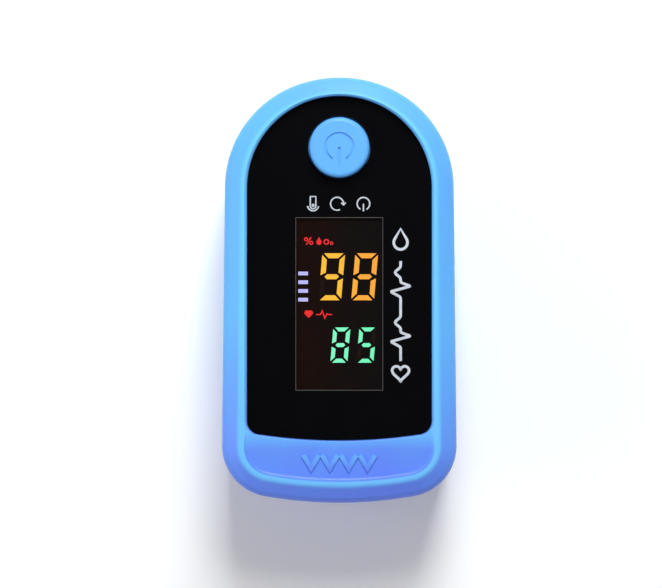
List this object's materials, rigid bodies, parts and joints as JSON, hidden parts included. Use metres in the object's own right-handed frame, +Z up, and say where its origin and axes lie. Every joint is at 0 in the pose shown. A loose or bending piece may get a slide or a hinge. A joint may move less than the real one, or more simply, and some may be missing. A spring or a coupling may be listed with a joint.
{
  "type": "fingertip pulse oximeter",
  "caption": "Clip-shaped fingertip pulse oximeter with a glossy front panel, segment display, power button, sprung hinge, silicone finger pads and a sliding battery door",
  "frame": {"origin": "on the floor under the middle of the case, which lies on its battery door", "axes": "X is the width, +Y points out of the finger opening along the length, +Z is up through the display"},
  "size_m": [0.032, 0.058, 0.034],
  "materials": {
    "case_blue": "satin moulded ABS",
    "button_blue": "satin moulded ABS",
    "clear_lens": "polished acrylic",
    "black_mask": "printed film",
    "tray_plastic": "fine matte moulded ABS",
    "steel": "zinc plated",
    "spring_steel": "drawn spring wire",
    "nickel": "nickel plated",
    "grey_silicone": "soft matte silicone",
    "clear_window": "clear red moulding",
    "diode_black": "black epoxy",
    "led_epoxy": "clear epoxy on white",
    "green_board": "solder mask",
    "socket_plastic": "moulded nylon",
    "flex_film": "polyimide film",
    "battery_wrap": "printed shrink sleeve",
    "chip_black": "moulded epoxy",
    "display_brown": "moulded epoxy",
    "amber_light": "lit diffuser",
    "green_light": "lit diffuser",
    "violet_light": "lit diffuser",
    "red_light": "lit diffuser",
    "dark_segment": "unlit diffuser",
    "stem_plastic": "moulded nylon"
  },
  "bodies": {
    "lower_half": {"lower_shell": "case_blue", "lower_tray": "tray_plastic", "lower_tray_screws": "steel", "lower_finger_pad": "grey_silicone", "sensor_window": "clear_window", "photodiode": "diode_black", "sensor_board": "green_board", "lower_cable_socket": "socket_plastic", "hinge_pins": "steel", "torsion_spring_right": "spring_steel", "torsion_spring_left": "spring_steel", "flex_cable": "flex_film", "battery_left": "battery_wrap", "battery_right": "battery_wrap", "bridge_contact": "nickel", "terminal_contacts": "nickel", "contact_springs": "nickel"},
    "upper_half": {"upper_shell": "case_blue", "front_lens": "clear_lens", "panel_mask": "black_mask", "upper_tray": "tray_plastic", "upper_tray_screws": "steel", "upper_finger_pad": "grey_silicone", "emitter_window": "clear_window", "light_emitter": "led_epoxy", "emitter_board": "green_board", "main_board": "green_board", "microcontroller": "chip_black", "board_parts": "chip_black", "upper_cable_socket": "socket_plastic", "display_body": "display_brown", "oxygen_segments": "amber_light", "pulse_segments": "green_light", "dark_segments": "dark_segment", "level_bars": "violet_light", "lit_labels": "red_light", "switch_body": "socket_plastic"},
    "power_button": {"button_cap": "button_blue", "switch_stem": "stem_plastic"},
    "battery_cover": {"battery_door": "case_blue"}
  },
  "joints": [
    {"name": "clip_hinge", "type": "hinge", "parent": "lower_half", "child": "upper_half", "pos_m": [0, -0.01, 0.01895], "axis": [1, 0, 0], "range_deg": [0, 20], "stiffness_Nm_per_rad": 0.17, "springref_deg": -26.93, "deforming": ["torsion_spring_left", "torsion_spring_right", "flex_cable"]},
    {"name": "power_press", "type": "slide", "parent": "upper_half", "child": "power_button", "axis": [0, 0, -1], "range_m": [0, 0.0004], "stiffness_N_per_m": 1500, "springref_m": -0.0004},
    {"name": "door_slide", "type": "slide", "parent": "lower_half", "child": "battery_cover", "axis": [0, 1, 0], "range_m": [0, 0.053]}
  ]
}
